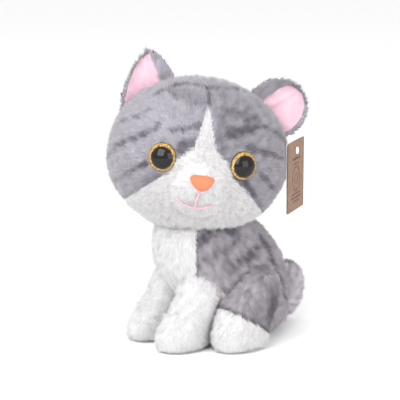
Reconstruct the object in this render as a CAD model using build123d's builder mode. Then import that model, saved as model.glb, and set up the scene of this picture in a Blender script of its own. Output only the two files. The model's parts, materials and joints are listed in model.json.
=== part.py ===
"""A sitting plush cat, about 190 mm tall: sewn plush covers over fibre stuffing, plastic eyes and a card tag.

Millimetres, +Z up. The body faces -Y and the cat's left is +X. The origin is the middle of the flat
seat on the surface that the cat sits on. The head is sewn on turned to the cat's left, looking up.
"""

import os
from math import cos, radians, sin, sqrt

from build123d import *

os.makedirs("parts", exist_ok=True)

# ---- cloth and clearances ----
cloth = 2.5  # plush backing with its pressed pile
ear_gap = 1.2  # free space that an ear bends in on its seam
limb_gap = 2.2  # free space that a foreleg or the tail bends in on its seam
slide_gap = 0.3  # free space around a piece that turns in another
reach = 90  # longer than any one cut goes
slack = 1.0  # how far a cutting form runs past what it cuts
tip_angle = 1.5  # degrees round each end of an egg that are left flat

# ---- head ----
head_width = 114  # ear side to ear side
head_height = 99  # crown to chin, and face to nape
head_centre_y = -36
head_lift = 2.4  # above the lowest place of the hollow in the shoulders
head_turn = 59  # degrees the sewn head looks to the cat's left
head_pitch = 11.5  # degrees the face looks up
head_roll = 7  # degrees the left ear drops

# ---- muzzle, nose and mouth, on the face plane ----
muzzle_radius = 19
muzzle_drop = 20  # below the middle of the head
muzzle_depth = 34  # in front of the middle of the head
nose_width = 15.5
nose_height = 10.5
nose_drop = 18.5
nose_thickness = 1.8
thread_width = 1.3
thread_rise = 0.7

# ---- eyes ----
eye_radius = 9.2
eye_spread = 25.7  # from the middle of the face
eye_drop = 5.3
lens_height = 5.6
iris_thickness = 0.6
iris_wall = 0.8  # lens rim round the iris disc
shank_radius = 2.2
shank_length = 8
washer_radius = 7
washer_thickness = 1.5
eye_sink = 0.9  # how far the lens rim presses into the plush

# ---- ears ----
ear_shell = 2.2
ear_lining = 1.6
ear_rim = 3.2  # grey edge left round the lining

# ---- neck ----
neck_radius = 8
neck_ball = 12
neck_ball_z = 85.5
neck_foot_radius = 12
neck_foot_low = 51
neck_foot_high = 62
neck_opening = 12
dish_low = 70.1  # lowest place of the hollow in the shoulders that the head rests over
dish_room = 10.5  # how much wider than the head the hollow is curved

# ---- body: height, middle along Y, half width, half length ----
body_sections = [
    (0, 0, 22, 22),
    (10, -3, 31, 31),
    (25, -9, 35, 38),
    (48, -19, 32, 45),
    (63, -24, 29, 42),
    (78.5, -32, 26, 32),
]
chest_angle = 49  # degrees either side of the front that the white chest covers
chest_middle_y = -33  # the upright line that the chest angle is counted round
belly_front = (-64, 48)  # Y and Z of the belly seam at the chest
belly_back = (30, 5)  # and at the seat
pellet_bag_sections = [(5, 0, -2, 8, 8), (9, 0, -2, 16, 16), (16, 0, -2, 19, 19), (23, 0, -2, 15, 15), (27, 0, -2, 6, 6)]

# ---- legs: height, middle along X and Y, half width, half length ----
foreleg_sections = [
    (0, 17, -63, 11, 17),
    (3, 17, -63, 13, 19.5),
    (9, 17, -63, 13.4, 20),
    (17, 16.8, -61, 13, 18),
    (28, 16, -56, 13, 16),
    (40, 15, -50, 13, 16),
    (52, 14.5, -46, 11, 14),
    (58, 14, -44, 5, 7),
]
hind_leg_sections = [
    (0, 38, -29, 11, 16),
    (3, 38, -29, 13, 18.5),
    (10, 38, -29, 13.5, 19.5),
    (20, 37, -25, 13, 21),
    (33, 35, -17, 12, 18),
    (43, 33, -11, 9.5, 13),
    (49, 32, -8, 4, 6),
]
foot_seam_front = (-36, 24)  # Y and Z of the seam between grey thigh and white foot
foot_seam_back = (-6, 5.5)

# ---- tail: Y, Z and radius along its curl ----
tail_sections = [(16, 15, 9), (26, 12, 10), (34, 13.5, 10.8), (39, 21, 10.4), (39.5, 31, 9.4), (37, 40, 4)]

# ---- tag ----
tag_width = 35
tag_height = 46
tag_card = 0.5
tag_leaf_gap = 0.6
tag_centre = (31.4, 20, 107.5)
tag_angle = 35  # degrees from +X to the way that the printed side faces
tag_hole_radius = 1.6
tag_hole_drop = 6.5  # from the top edge to the hole
pin_radius = 0.6
pin_head_radius = 2.4
pin_head_thickness = 0.8
pin_inside = 12  # how far the pin runs into the head


# ---- frames ----
def direction(heading):
    """The level direction at a heading counted from -Y towards +X."""
    return Vector(sin(radians(heading)), -cos(radians(heading)), 0)


up = Vector(0, 0, 1)
half_width = head_width / 2
head_radius = head_height / 2
dish_radius = head_radius + dish_room
head_centre = Vector(0, head_centre_y, dish_low + head_lift + head_radius)
level_facing = direction(head_turn)
level_left = direction(head_turn + 90)
head_left = level_left * cos(radians(head_roll)) - up * sin(radians(head_roll))
level_top = level_facing.cross(head_left)
facing = level_facing * cos(radians(head_pitch)) + level_top * sin(radians(head_pitch))
face = Plane(origin=head_centre, x_dir=head_left, z_dir=facing)
neck_axis = Plane(origin=(0, head_centre_y, 0))


def on_face(x, y, z=0.0):
    """A place counted from the middle of the head: to the left, up and forward."""
    return face.from_local_coords(Vector(x, y, z))


# ---- shared forms ----
def egg(plane, along, across):
    """An egg round the plane's X axis, with a tiny flat at each end."""
    tip_along = along * cos(radians(tip_angle))
    tip_across = across * sin(radians(tip_angle))
    with BuildPart() as form:
        with BuildSketch(plane):
            with BuildLine():
                EllipticalCenterArc((0, 0), along, across, tip_angle, arc_size=180 - 2 * tip_angle)
                Polyline((-tip_along, tip_across), (-tip_along, 0), (tip_along, 0), (tip_along, tip_across))
            make_face()
        revolve(axis=Axis(plane.origin, plane.x_dir))
    return form.part


def head_form(grow):
    """The egg of the head, its long way from side to side, grown all round."""
    return egg(face, half_width + grow, head_radius + grow)


def muzzle_form(radius):
    with BuildPart() as form:
        with Locations(face):
            with Locations((0, -muzzle_drop, muzzle_depth)):
                Sphere(radius)
    return form.part


def column(sections, grow, side=1):
    """A soft column lofted through level ovals, grown outwards but kept on its lowest level."""
    with BuildPart() as form:
        lowest = sections[0][0]
        highest = sections[-1][0]
        for height, x, y, wide, long in sections:
            level = height
            if height == highest:
                level = height + grow
            if height == lowest:
                level = height - min(grow, 0)
            with BuildSketch(Plane((side * x, y, level))):
                Ellipse(wide + grow, long + grow)
        loft()
    return form.part


def body_form(grow):
    stations = [(height, 0, y, wide, long) for height, y, wide, long in body_sections]
    return column(stations, grow)


def tail_form(grow):
    """The curled tail: rings square to its middle line, closed small at the tip."""
    middles = [Vector(0, y, z) for y, z, radius in tail_sections]
    with BuildPart() as form:
        for index, (y, z, radius) in enumerate(tail_sections):
            before = middles[max(index - 1, 0)]
            after = middles[min(index + 1, len(middles) - 1)]
            way = (after - before).normalized()
            with BuildSketch(Plane(origin=middles[index], x_dir=(1, 0, 0), z_dir=way)):
                Circle(radius + grow)
        loft()
    return form.part


def face_block(outline, start, end):
    """A block standing on the face plane with a closed outline of points."""
    with BuildPart() as form:
        with BuildSketch(face.offset(start)):
            with BuildLine():
                Polyline(*outline, close=True)
            make_face()
        extrude(amount=end - start)
    return form.part


def half_space(origin, normal):
    """A large block on the side of a plane that its normal points to."""
    with BuildPart() as form:
        with BuildSketch(Plane(origin=origin, z_dir=normal)):
            Rectangle(4 * reach, 4 * reach)
        extrude(amount=2 * reach)
    return form.part


def keep(solid, label):
    """Name a finished piece and write it to its own file."""
    solid.label = label
    export_step(solid, f"parts/{label}.step")
    return solid


def cut(base, keeps=(), drops=()):
    """What is left of a form inside every keeper and outside every dropped one."""
    with BuildPart() as form:
        add(base)
        for keeper in keeps:
            add(keeper, mode=Mode.INTERSECT)
        for dropped in drops:
            add(dropped, mode=Mode.SUBTRACT)
    return form.part


# ---- eyes: a clear dome on a shank, a glitter disc behind it and a lock washer inside the plush ----
def eye_plane(side):
    x = side * eye_spread
    y = -eye_drop
    z = head_radius * sqrt(1 - (x / half_width) ** 2 - (y / head_radius) ** 2)
    outward = Vector(x / half_width**2, y / head_radius**2, z / head_radius**2)
    out = (on_face(*outward) - head_centre).normalized()
    return Plane(origin=on_face(x, y, z) - out * eye_sink, z_dir=out)


def eye_pieces(side, name):
    seat = eye_plane(side)
    dome_radius = (eye_radius**2 + lens_height**2) / (2 * lens_height)
    disc_radius = eye_radius - iris_wall
    washer_top = cloth + slide_gap
    with BuildPart() as lens:
        with Locations(seat.offset(lens_height - dome_radius)):
            Sphere(dome_radius)
        split(bisect_by=seat, keep=Keep.TOP)
        with BuildSketch(seat):
            Circle(disc_radius)
        extrude(amount=iris_thickness, mode=Mode.SUBTRACT)
        with BuildSketch(seat.offset(iris_thickness)):
            Circle(shank_radius)
        extrude(amount=-shank_length - iris_thickness)
    with BuildPart() as iris:
        with BuildSketch(seat):
            Circle(disc_radius)
            Circle(shank_radius, mode=Mode.SUBTRACT)
        extrude(amount=iris_thickness)
    with BuildPart() as washer:
        with BuildSketch(seat.offset(-washer_top)):
            Circle(washer_radius)
            Circle(shank_radius, mode=Mode.SUBTRACT)
        extrude(amount=-washer_thickness)
    with BuildPart() as room:
        with BuildSketch(seat):
            Circle(eye_radius)
        extrude(amount=lens_height + slack)
        with BuildSketch(seat):
            Circle(shank_radius)
        extrude(amount=-shank_length)
        with BuildSketch(seat.offset(-washer_top)):
            Circle(washer_radius)
        extrude(amount=-washer_thickness)
    keep(lens.part, f"eye_{name}_lens")
    keep(iris.part, f"eye_{name}_iris_disc")
    keep(washer.part, f"eye_{name}_lock_washer")
    return room.part


eye_rooms = [eye_pieces(1, "left"), eye_pieces(-1, "right")]

# ---- neck: a plug of packed fibre that the head turns and nods on ----
with BuildPart() as neck:
    with BuildSketch(Plane(neck_axis.origin, x_dir=(1, 0, 0), z_dir=(0, -1, 0))):
        with Locations((0, neck_ball_z)):
            Circle(neck_ball)
        with Locations((0, (neck_foot_low + neck_ball_z) / 2)):
            Rectangle(2 * neck_radius, neck_ball_z - neck_foot_low)
        with Locations((0, (neck_foot_low + neck_foot_high) / 2)):
            Rectangle(2 * neck_foot_radius, neck_foot_high - neck_foot_low)
        with Locations((-reach, neck_ball_z)):
            Rectangle(2 * reach, 2 * reach, mode=Mode.SUBTRACT)
    revolve(axis=Axis(neck_axis.origin, (0, 0, 1)))
keep(neck.part, "neck_stuffing")

with BuildPart() as neck_room_in_head:
    with Locations((0, head_centre_y, neck_ball_z)):
        Sphere(neck_ball + slide_gap)
    with BuildSketch(neck_axis.offset(dish_low)):
        Circle(neck_opening)
    extrude(amount=neck_ball_z - dish_low)

with BuildPart() as neck_room_in_body:
    with BuildSketch(neck_axis.offset(neck_foot_low)):
        Circle(neck_foot_radius + slide_gap)
    extrude(amount=neck_foot_high - neck_foot_low + slide_gap)
    with BuildSketch(neck_axis.offset(neck_foot_low)):
        Circle(neck_radius + slide_gap)
    extrude(amount=reach)

# ---- tag pin: a nylon dart from the side of the head through both leaves of the tag ----
tag_front = Vector(cos(radians(tag_angle)), sin(radians(tag_angle)), 0)
tag_along = Vector(-sin(radians(tag_angle)), cos(radians(tag_angle)), 0)
tag_middle = Vector(*tag_centre)
tag_hole = tag_middle + up * (tag_height / 2 - tag_hole_drop)
tag_stack = tag_card * 2 + tag_leaf_gap
pin_head_plane = Plane(origin=tag_hole + tag_front * (tag_card + slide_gap), z_dir=tag_front)


def pin_run():
    """How far it is from the front of the tag to the side of the head, along the pin."""
    hit = head_form(0).find_intersection_points(Axis(tag_hole, tag_front * -1))
    return min((point - tag_hole).length for point, normal in hit)


pin_length = pin_run() + pin_inside
with BuildPart() as tag_pin:
    with BuildSketch(pin_head_plane):
        Circle(pin_head_radius)
    extrude(amount=pin_head_thickness)
    fillet(tag_pin.edges().group_by(Axis(tag_hole, tag_front))[-1], pin_head_thickness / 2)
    with BuildSketch(pin_head_plane):
        Circle(pin_radius)
    extrude(amount=-pin_length)
    with BuildSketch(pin_head_plane.offset(-pin_length)):
        Rectangle(pin_head_radius * 4, pin_radius * 2)
    extrude(amount=pin_radius * 2)
keep(tag_pin.part, "tag_pin")

# ---- head covers and stuffing ----
muzzle_outer = muzzle_form(muzzle_radius)
muzzle_inner = muzzle_form(muzzle_radius - cloth)
head_outer = head_form(0)
head_inner = head_form(-cloth)
with BuildPart() as head_core_form:
    add(head_inner)
    add(muzzle_inner)
head_core = head_core_form.part
head_rooms = [neck_room_in_head.part, tag_pin.part, *eye_rooms]

white_half = [
    (3.4, 17),
    (7.2, 2.6),
    (17, -6),
    (20, -14),
    (31, -22),
    (44, -33),
    (half_width, -46),
    (half_width, -reach),
]
white_outline = [(0, 30), *white_half, *[(-x, y) for x, y in reversed(white_half)]]
white_block = face_block(white_outline, 0, reach)
front_side = half_space(face.origin, face.z_dir)
back_side = half_space(face.origin, face.z_dir * -1)
left_side = half_space(face.origin, face.x_dir)
right_side = half_space(face.origin, face.x_dir * -1)

keep(cut(head_core, drops=head_rooms), "head_stuffing")
keep(cut(muzzle_outer, drops=[head_core]), "muzzle_panel")
shell_drops = [head_inner, muzzle_outer, *head_rooms]
keep(cut(head_outer, keeps=[white_block], drops=shell_drops), "face_white_panel")
for name, side in (("left", left_side), ("right", right_side)):
    keep(cut(head_outer, [side, front_side], [white_block, *shell_drops]), f"face_{name}_panel")
    keep(cut(head_outer, [side, back_side], shell_drops), f"head_back_{name}_panel")

# ---- nose and mouth: raised embroidery that follows the muzzle ----
with BuildPart() as nose_block:
    with BuildSketch(face.offset(muzzle_depth)):
        with BuildLine():
            Spline(
                (0, -nose_drop - nose_height / 2),
                (nose_width * 0.40, -nose_drop + nose_height * 0.08),
                (nose_width * 0.40, -nose_drop + nose_height * 0.42),
                (0, -nose_drop + nose_height * 0.46),
                (-nose_width * 0.40, -nose_drop + nose_height * 0.42),
                (-nose_width * 0.40, -nose_drop + nose_height * 0.08),
                periodic=True,
            )
        make_face()
    extrude(amount=reach)
keep(cut(muzzle_form(muzzle_radius + nose_thickness), [nose_block.part], [muzzle_outer]), "nose_patch")

with BuildPart() as mouth_block:
    with BuildSketch(face.offset(muzzle_depth)):
        with BuildLine() as lip:
            ThreePointArc((-13.5, -31), (-2.6, -34.6), (7.5, -32))
        trace(line_width=thread_width)
        with BuildLine() as cleft:
            Line((-1.4, -25), (-2.6, -34.6))
        trace(line_width=thread_width)
    extrude(amount=reach)
mouth = cut(muzzle_form(muzzle_radius + thread_rise), [mouth_block.part], [muzzle_outer])
keep(mouth, "mouth_stitching")

# ---- ears: a grey shell and a pink lining, free of the head by the gap they flex in ----
ear_outlines = {
    "left": [(28, 41.5), (43, 56), (61.5, 54.5), (64, 38), (59, 20)],
    "right": [(-20, 46), (-29, 57), (-39.6, 65.5), (-47.5, 45), (-52, 23)],
}
head_clear = head_form(ear_gap)


def ear_blade(outline, start, end):
    """A blade on the face plane: two bowed edges that meet in the tip, run down into the head."""
    first, near, tip, far, last = outline
    with BuildPart() as blade:
        with BuildSketch(face.offset(start)):
            with BuildLine():
                Spline(first, near, tip)
                Spline(tip, far, last)
                Polyline(last, (last[0] * 0.5, last[1] * 0.5), (first[0] * 0.5, first[1] * 0.5), first)
            make_face()
        extrude(amount=end - start)
    return cut(blade.part, drops=[head_clear])


def ear_pieces(name):
    outline = ear_outlines[name]
    middle = Vector(sum(x for x, y in outline) / 5, sum(y for x, y in outline) / 5)
    inset = []
    for x, y in outline:
        inward = (middle - Vector(x, y)).normalized() * ear_rim
        inset.append((x + inward.X, y + inward.Y))
    keep(ear_blade(outline, -ear_shell, 0), f"ear_{name}_shell")
    keep(ear_blade(inset, 0, ear_lining), f"ear_{name}_lining")


for name in ear_outlines:
    ear_pieces(name)

# ---- body covers and stuffing ----
body_outer = body_form(0)
body_inner = body_form(-cloth)
with BuildPart() as dish:
    with Locations((0, head_centre_y, dish_low + dish_radius)):
        Sphere(dish_radius)
with BuildPart() as stuffing_dish:
    with Locations((0, head_centre_y, dish_low + dish_radius - cloth)):
        Sphere(dish_radius)

with BuildPart() as chest_wedge:
    with BuildSketch(Plane((0, chest_middle_y, 0))):
        with BuildLine():
            spread = reach * sin(radians(chest_angle))
            ahead = -reach * cos(radians(chest_angle))
            Polyline((0, 0), (spread, ahead), (-spread, ahead), close=True)
        make_face()
    extrude(amount=reach)

belly_run = Vector(0, belly_back[0] - belly_front[0], belly_back[1] - belly_front[1])
belly_below = half_space((0, *belly_front), belly_run.cross(Vector(1, 0, 0)))
neck_room = neck_room_in_body.part

pellet_bag = column(pellet_bag_sections, 0)
keep(pellet_bag, "pellet_bag")

hind_legs = {name: column(hind_leg_sections, 0, side) for name, side in (("left", 1), ("right", -1))}
skin_drops = [body_inner, dish.part, neck_room]
keep(cut(body_inner, drops=[stuffing_dish.part, neck_room, pellet_bag]), "body_stuffing")
keep(cut(body_outer, [chest_wedge.part], [belly_below, *skin_drops]), "chest_panel")
keep(cut(body_outer, [belly_below], skin_drops), "belly_panel")
for name, side in (("left", 1), ("right", -1)):
    flank_side = half_space((0, 0, 0), (side, 0, 0))
    flank_drops = [chest_wedge.part, belly_below, *skin_drops]
    keep(cut(body_outer, [flank_side], flank_drops), f"flank_{name}_panel")

# ---- hind legs: grey thigh and white foot sewn to the body ----
foot_run = Vector(0, foot_seam_back[0] - foot_seam_front[0], foot_seam_back[1] - foot_seam_front[1])
foot_below = half_space((0, *foot_seam_front), foot_run.cross(Vector(1, 0, 0)))
for name, side in (("left", 1), ("right", -1)):
    leg_inner = column(hind_leg_sections, -cloth, side)
    keep(cut(leg_inner, drops=[body_outer]), f"hind_leg_{name}_stuffing")
    keep(cut(hind_legs[name], drops=[leg_inner, body_outer, foot_below]), f"hind_leg_{name}_thigh")
    keep(cut(hind_legs[name], [foot_below], [leg_inner, body_outer]), f"hind_leg_{name}_foot")

# ---- forelegs: they flex on their shoulder seams ----
body_clear = body_form(limb_gap)
for name, side in (("left", 1), ("right", -1)):
    leg_outer = column(foreleg_sections, 0, side)
    leg_inner = column(foreleg_sections, -cloth, side)
    keep(cut(leg_inner, drops=[body_clear]), f"foreleg_{name}_stuffing")
    keep(cut(leg_outer, drops=[leg_inner, body_clear]), f"foreleg_{name}_cover")

# ---- tail ----
tail_inner = tail_form(-cloth)
keep(cut(tail_inner, drops=[body_clear]), "tail_stuffing")
keep(cut(tail_form(0), drops=[tail_inner, body_clear]), "tail_cover")


# ---- tag: a folded card hanging on the pin ----
def tag_leaf(start, label):
    leaf_plane = Plane(origin=tag_middle + tag_front * start, x_dir=tag_along, z_dir=tag_front)
    with BuildPart() as leaf:
        with BuildSketch(leaf_plane):
            Rectangle(tag_width, tag_height)
            with Locations((0, tag_height / 2 - tag_hole_drop)):
                Circle(tag_hole_radius, mode=Mode.SUBTRACT)
        extrude(amount=tag_card)
    keep(leaf.part, label)


tag_leaf(0, "tag_front_leaf")
tag_leaf(-tag_leaf_gap - tag_card, "tag_back_leaf")
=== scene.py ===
"""A sitting plush cat: stuffed skins with real pile, glossy eyes, embroidery and a folded card tag."""

import json
from math import cos, pi, radians, sin, sqrt, tan

import bmesh
import bpy
import numpy as np
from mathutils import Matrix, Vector


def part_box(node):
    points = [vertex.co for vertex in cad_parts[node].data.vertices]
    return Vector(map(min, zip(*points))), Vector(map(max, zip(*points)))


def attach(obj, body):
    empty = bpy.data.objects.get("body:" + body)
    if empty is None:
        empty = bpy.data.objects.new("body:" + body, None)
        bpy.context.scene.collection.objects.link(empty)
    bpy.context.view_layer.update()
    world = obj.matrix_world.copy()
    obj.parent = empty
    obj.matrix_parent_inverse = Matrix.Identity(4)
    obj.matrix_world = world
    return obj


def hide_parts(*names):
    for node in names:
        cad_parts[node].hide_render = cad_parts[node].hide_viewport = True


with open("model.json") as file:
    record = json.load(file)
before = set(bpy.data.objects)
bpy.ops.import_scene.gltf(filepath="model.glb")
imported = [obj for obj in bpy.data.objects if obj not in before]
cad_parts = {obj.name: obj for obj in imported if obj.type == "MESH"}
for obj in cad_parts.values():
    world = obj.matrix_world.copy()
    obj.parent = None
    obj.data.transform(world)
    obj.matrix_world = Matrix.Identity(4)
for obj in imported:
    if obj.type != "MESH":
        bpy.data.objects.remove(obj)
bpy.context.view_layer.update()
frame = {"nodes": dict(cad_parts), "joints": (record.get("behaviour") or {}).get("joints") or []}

MM = 0.001

# ---- the head's own frame: X to the cat's left, Y up, Z the way the face looks ----
HEAD_HALF_WIDTH = 57.0
HEAD_RADIUS = 49.5
HEAD_ROLL = radians(7)
HEAD_PITCH = radians(11.5)
MUZZLE_MIDDLE = np.array([0.0, -20.0, 34.0])
MUZZLE_RADIUS = 19.0
EYE_SPREAD = 25.7
EYE_DROP = 5.3
EYE_RADIUS = 9.2
EYE_HEIGHT = 5.6
EYE_SINK = 0.4  # how far the dome sits in the pile
GOLD_STARTS = (6.9, 7.3)  # from the middle of the pupil
GOLD_ENDS = (8.7, 9.1)  # from the middle of the dome
NOSE_DROP = 18.2  # from the head's middle down to the nose's

# ---- pile ----
BACKING = 1.0  # how far the backing cloth lies inside the pressed surface
CLOTH = 1.0  # thickness of the backing cloth
CAD_CLOTH = 2.5  # thickness of cloth and pressed pile together
HEAD_PILE = 4.2
BODY_PILE = 5.0
STRAND_WIDTH = 0.5
STRANDS_PER_MM2 = 4.6
TUFT_SIZE = 5.5
ROOT_DEPTH = 0.3  # how far each strand starts inside the skin
FLOOR_GAP = 0.3  # how far the lowest strands stay above the floor
THIRDS = (0, 2 * pi / 3, 4 * pi / 3)

# ---- colours, linear ----
WHITE = np.array([0.95, 0.935, 0.94])
GREY = np.array([0.415, 0.397, 0.44])
DARK = np.array([0.085, 0.078, 0.10])
# CREAM is the belly's colour: partly its own cream tone, partly painted shade under the body.
CREAM = np.array([0.87, 0.84, 0.79])
HEAD_WHITE = WHITE * 0.85  # the head faces the light more than the body does
BODY_TINT = np.array([1.0, 0.97, 0.945])  # the flanks, thighs and tail are a warmer grey than the head


def node_joint(name):
    return next(joint for joint in frame["joints"] if joint["name"] == name)


def joined_box(*names):
    """The box round several nodes, in millimetres."""
    corners = [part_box(name) for name in names]
    low = np.min([np.array(low) for low, high in corners], axis=0) / MM
    high = np.max([np.array(high) for low, high in corners], axis=0) / MM
    return low, high


HEAD_PANELS = (
    "face_white_panel",
    "face_left_panel",
    "face_right_panel",
    "head_back_left_panel",
    "head_back_right_panel",
)
level_left = np.array(node_joint("head_nod")["axis"])
head_up = np.array([0.0, 0.0, 1.0])
face_way = np.cross(level_left, head_up)
head_left = level_left * cos(HEAD_ROLL) - head_up * sin(HEAD_ROLL)
face_way = face_way * cos(HEAD_PITCH) + np.cross(face_way, head_left) * sin(HEAD_PITCH)
head_top = np.cross(face_way, head_left)
head_rise = sqrt((HEAD_HALF_WIDTH * sin(HEAD_ROLL)) ** 2 + (HEAD_RADIUS * cos(HEAD_ROLL)) ** 2)
low, high = joined_box(*HEAD_PANELS)
HEAD_MIDDLE = np.array([(low[0] + high[0]) / 2, (low[1] + high[1]) / 2, high[2] - head_rise])
HEAD_AXES = np.stack([head_left, head_top, face_way])


def to_world(points):
    """Places in the head's frame, in millimetres, as places in the model."""
    return HEAD_MIDDLE + np.asarray(points) @ HEAD_AXES


def to_head(points):
    return (np.asarray(points) - HEAD_MIDDLE) @ HEAD_AXES.T


def unit(vectors):
    return vectors / np.maximum(np.linalg.norm(vectors, axis=-1, keepdims=True), 1e-9)


def smooth_step(low_edge, high_edge, value):
    share = np.clip((value - low_edge) / (high_edge - low_edge), 0, 1)
    return share * share * (3 - 2 * share)


def waves(points, size, seed):
    """Soft unevenness between about -1 and 1 with lumps of a given size."""
    rng = np.random.default_rng(seed)
    total = np.zeros(len(points))
    count = 7
    for _ in range(count):
        way = unit(rng.normal(size=3))
        phase = rng.uniform(0, 2 * pi)
        total += np.sin(points @ way * (2 * pi / size) * rng.uniform(0.7, 1.4) + phase)
    return total / sqrt(count) * 0.8


# ---- camera, light and floor ----
CAMERA_AZIMUTH = 55
CAMERA_RISE = 11.5
CAMERA_DISTANCE = 1.1
CAMERA_LENS = 151.5
CAMERA_AIM = Vector((-1.9, -32.7, 91.5)) * MM
LIGHT_AIM = Vector((0, -30, 90)) * MM


def way_out(azimuth, rise):
    """The direction from the cat to something placed round it, with both angles in degrees."""
    azimuth, rise = radians(azimuth), radians(rise)
    return Vector((cos(rise) * sin(azimuth), -cos(rise) * cos(azimuth), sin(rise)))


def make_camera():
    away = way_out(CAMERA_AZIMUTH, CAMERA_RISE)
    bpy.ops.object.camera_add(location=CAMERA_AIM + away * CAMERA_DISTANCE)
    camera = bpy.context.object
    camera.rotation_euler = away.to_track_quat("Z", "Y").to_euler()
    camera.data.lens = CAMERA_LENS
    camera.data.clip_start = 0.05
    bpy.context.scene.camera = camera


def make_light(name, azimuth, rise, distance, size, power):
    away = way_out(azimuth, rise)
    bpy.ops.object.light_add(type="AREA", location=LIGHT_AIM + away * distance)
    light = bpy.context.object
    light.name = name
    light.rotation_euler = away.to_track_quat("Z", "Y").to_euler()
    light.data.shape = "RECTANGLE"
    light.data.size = size[0]
    light.data.size_y = size[1]
    light.data.energy = power


def make_studio():
    make_light("key_light", 22, 38, 1.2, (0.95, 0.95), 14)
    make_light("fill_light", 95, 14, 1.4, (1.0, 1.0), 8)
    make_light("top_light", 55, 85, 1.4, (1.4, 1.4), 1.5)
    world = bpy.data.worlds.new("studio")
    world.use_nodes = True
    world.node_tree.nodes["Background"].inputs["Color"].default_value = (1, 1, 1, 1)
    world.node_tree.nodes["Background"].inputs["Strength"].default_value = 1.0
    bpy.context.scene.world = world
    bpy.context.scene.view_settings.view_transform = "Standard"
    bpy.ops.mesh.primitive_plane_add(size=8, location=(0, 0, -0.0005))
    floor = bpy.context.object
    floor.name = "floor"
    paper = bpy.data.materials.new("floor_paper")
    paper.use_nodes = True
    shader = paper.node_tree.nodes["Principled BSDF"]
    shader.inputs["Base Color"].default_value = (0.93, 0.93, 0.93, 1)
    shader.inputs["Roughness"].default_value = 0.9
    floor.data.materials.append(paper)


# ---- materials ----
class Finish:
    """A material with its Principled shader and small helpers to wire it."""

    def __init__(self, name, **settings):
        self.material = bpy.data.materials.new(name)
        self.material.use_nodes = True
        self.tree = self.material.node_tree
        self.shader = self.tree.nodes["Principled BSDF"]
        for socket, value in settings.items():
            self.shader.inputs[socket.replace("_", " ")].default_value = value

    def node(self, kind, **inputs):
        made = self.tree.nodes.new(kind)
        for socket, value in inputs.items():
            made.inputs[socket].default_value = value
        return made

    def link(self, source, target):
        self.tree.links.new(source, target)

    def place(self, scale=(1, 1, 1)):
        """Object coordinates, stretched as asked."""
        where = self.node("ShaderNodeTexCoord")
        mapping = self.node("ShaderNodeMapping", Scale=scale)
        self.link(where.outputs["Object"], mapping.inputs["Vector"])
        return mapping.outputs["Vector"]

    def noise(self, scale, detail=3.0, stretch=(1, 1, 1)):
        noise = self.node("ShaderNodeTexNoise", Scale=scale, Detail=detail)
        self.link(self.place(stretch), noise.inputs["Vector"])
        return noise.outputs["Fac"]

    def ramp(self, source, *stops):
        ramp = self.node("ShaderNodeValToRGB")
        elements = ramp.color_ramp.elements
        while len(elements) < len(stops):
            elements.new(0.5)
        for element, (position, colour) in zip(elements, stops):
            element.position = position
            element.color = (*colour, 1)
        self.link(source, ramp.inputs["Fac"])
        return ramp.outputs["Color"]

    def bump(self, height, strength, distance):
        bump = self.node("ShaderNodeBump", Strength=strength, Distance=distance)
        self.link(height, bump.inputs["Height"])
        self.link(bump.outputs["Normal"], self.shader.inputs["Normal"])

    def times(self, first, second):
        mix = self.tree.nodes.new("ShaderNodeMix")
        mix.data_type = "RGBA"
        mix.blend_type = "MULTIPLY"
        mix.inputs["Factor"].default_value = 1.0
        self.link(first, mix.inputs["A"])
        self.link(second, mix.inputs["B"])
        return mix.outputs["Result"]

    def attribute(self, name):
        reader = self.tree.nodes.new("ShaderNodeAttribute")
        reader.attribute_name = name
        return reader.outputs["Color"]


def plush_finish(name, sheen):
    """Short pile: the colour painted on each strand, with painted shade towards its root and painted light at
    its tip, a little uneven, with a soft sheen.
    """
    finish = Finish(name, Roughness=0.92, Sheen_Weight=sheen, Sheen_Roughness=0.45)
    finish.shader.inputs["Specular IOR Level"].default_value = 0.15
    uneven = finish.ramp(finish.noise(700, 4), (0.25, (0.90, 0.90, 0.91)), (0.75, (1, 1, 1)))
    finish.link(finish.times(finish.attribute("pile_colour"), uneven), finish.shader.inputs["Base Color"])
    return finish.material


def satin_finish():
    finish = Finish("pink_satin", Roughness=0.55, Sheen_Weight=0.3)
    weave = finish.noise(2600, 2, (1, 1, 3))
    finish.link(
        finish.ramp(
            finish.noise(160, 4), (0.3, (0.58, 0.35, 0.425)), (0.7, (0.68, 0.445, 0.51))
        ),
        finish.shader.inputs["Base Color"],
    )
    finish.bump(weave, 0.35, 0.0003)
    return finish.material


def thread_finish(name, dark, light, stretch):
    """Rows of laid thread: fine ridges along one way, with painted shade in the grooves and painted light on
    the ridge tops.
    """
    finish = Finish(name, Roughness=0.5, Sheen_Weight=0.08)
    wave = finish.node("ShaderNodeTexWave", Scale=420.0, Distortion=1.2, Detail=2.0)
    finish.link(finish.place(stretch), wave.inputs["Vector"])
    # The colour follows the same wave as the bump: the dark colour is painted shade in the grooves, and the
    # light colour is painted light on the ridges.
    finish.link(
        finish.ramp(wave.outputs["Fac"], (0.1, dark), (0.8, light)), finish.shader.inputs["Base Color"]
    )
    finish.bump(wave.outputs["Fac"], 0.5, 0.0004)
    return finish.material


def eye_finish():
    finish = Finish("eye_dome", Roughness=0.04)
    finish.shader.inputs["Specular IOR Level"].default_value = 0.3
    finish.link(finish.attribute("eye_colour"), finish.shader.inputs["Base Color"])
    return finish.material


def glitter_finish():
    finish = Finish("gold_glitter", Roughness=0.32, Metallic=0.55, Coat_Weight=1.0)
    flakes = finish.node("ShaderNodeTexVoronoi", Scale=2200.0)
    finish.link(finish.place(), flakes.inputs["Vector"])
    finish.link(
        finish.ramp(
            flakes.outputs["Color"],
            (0.15, (0.30, 0.16, 0.03)),
            (0.5, (0.72, 0.46, 0.12)),
            (0.85, (1.0, 0.86, 0.42)),
        ),
        finish.shader.inputs["Base Color"],
    )
    return finish.material


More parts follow.
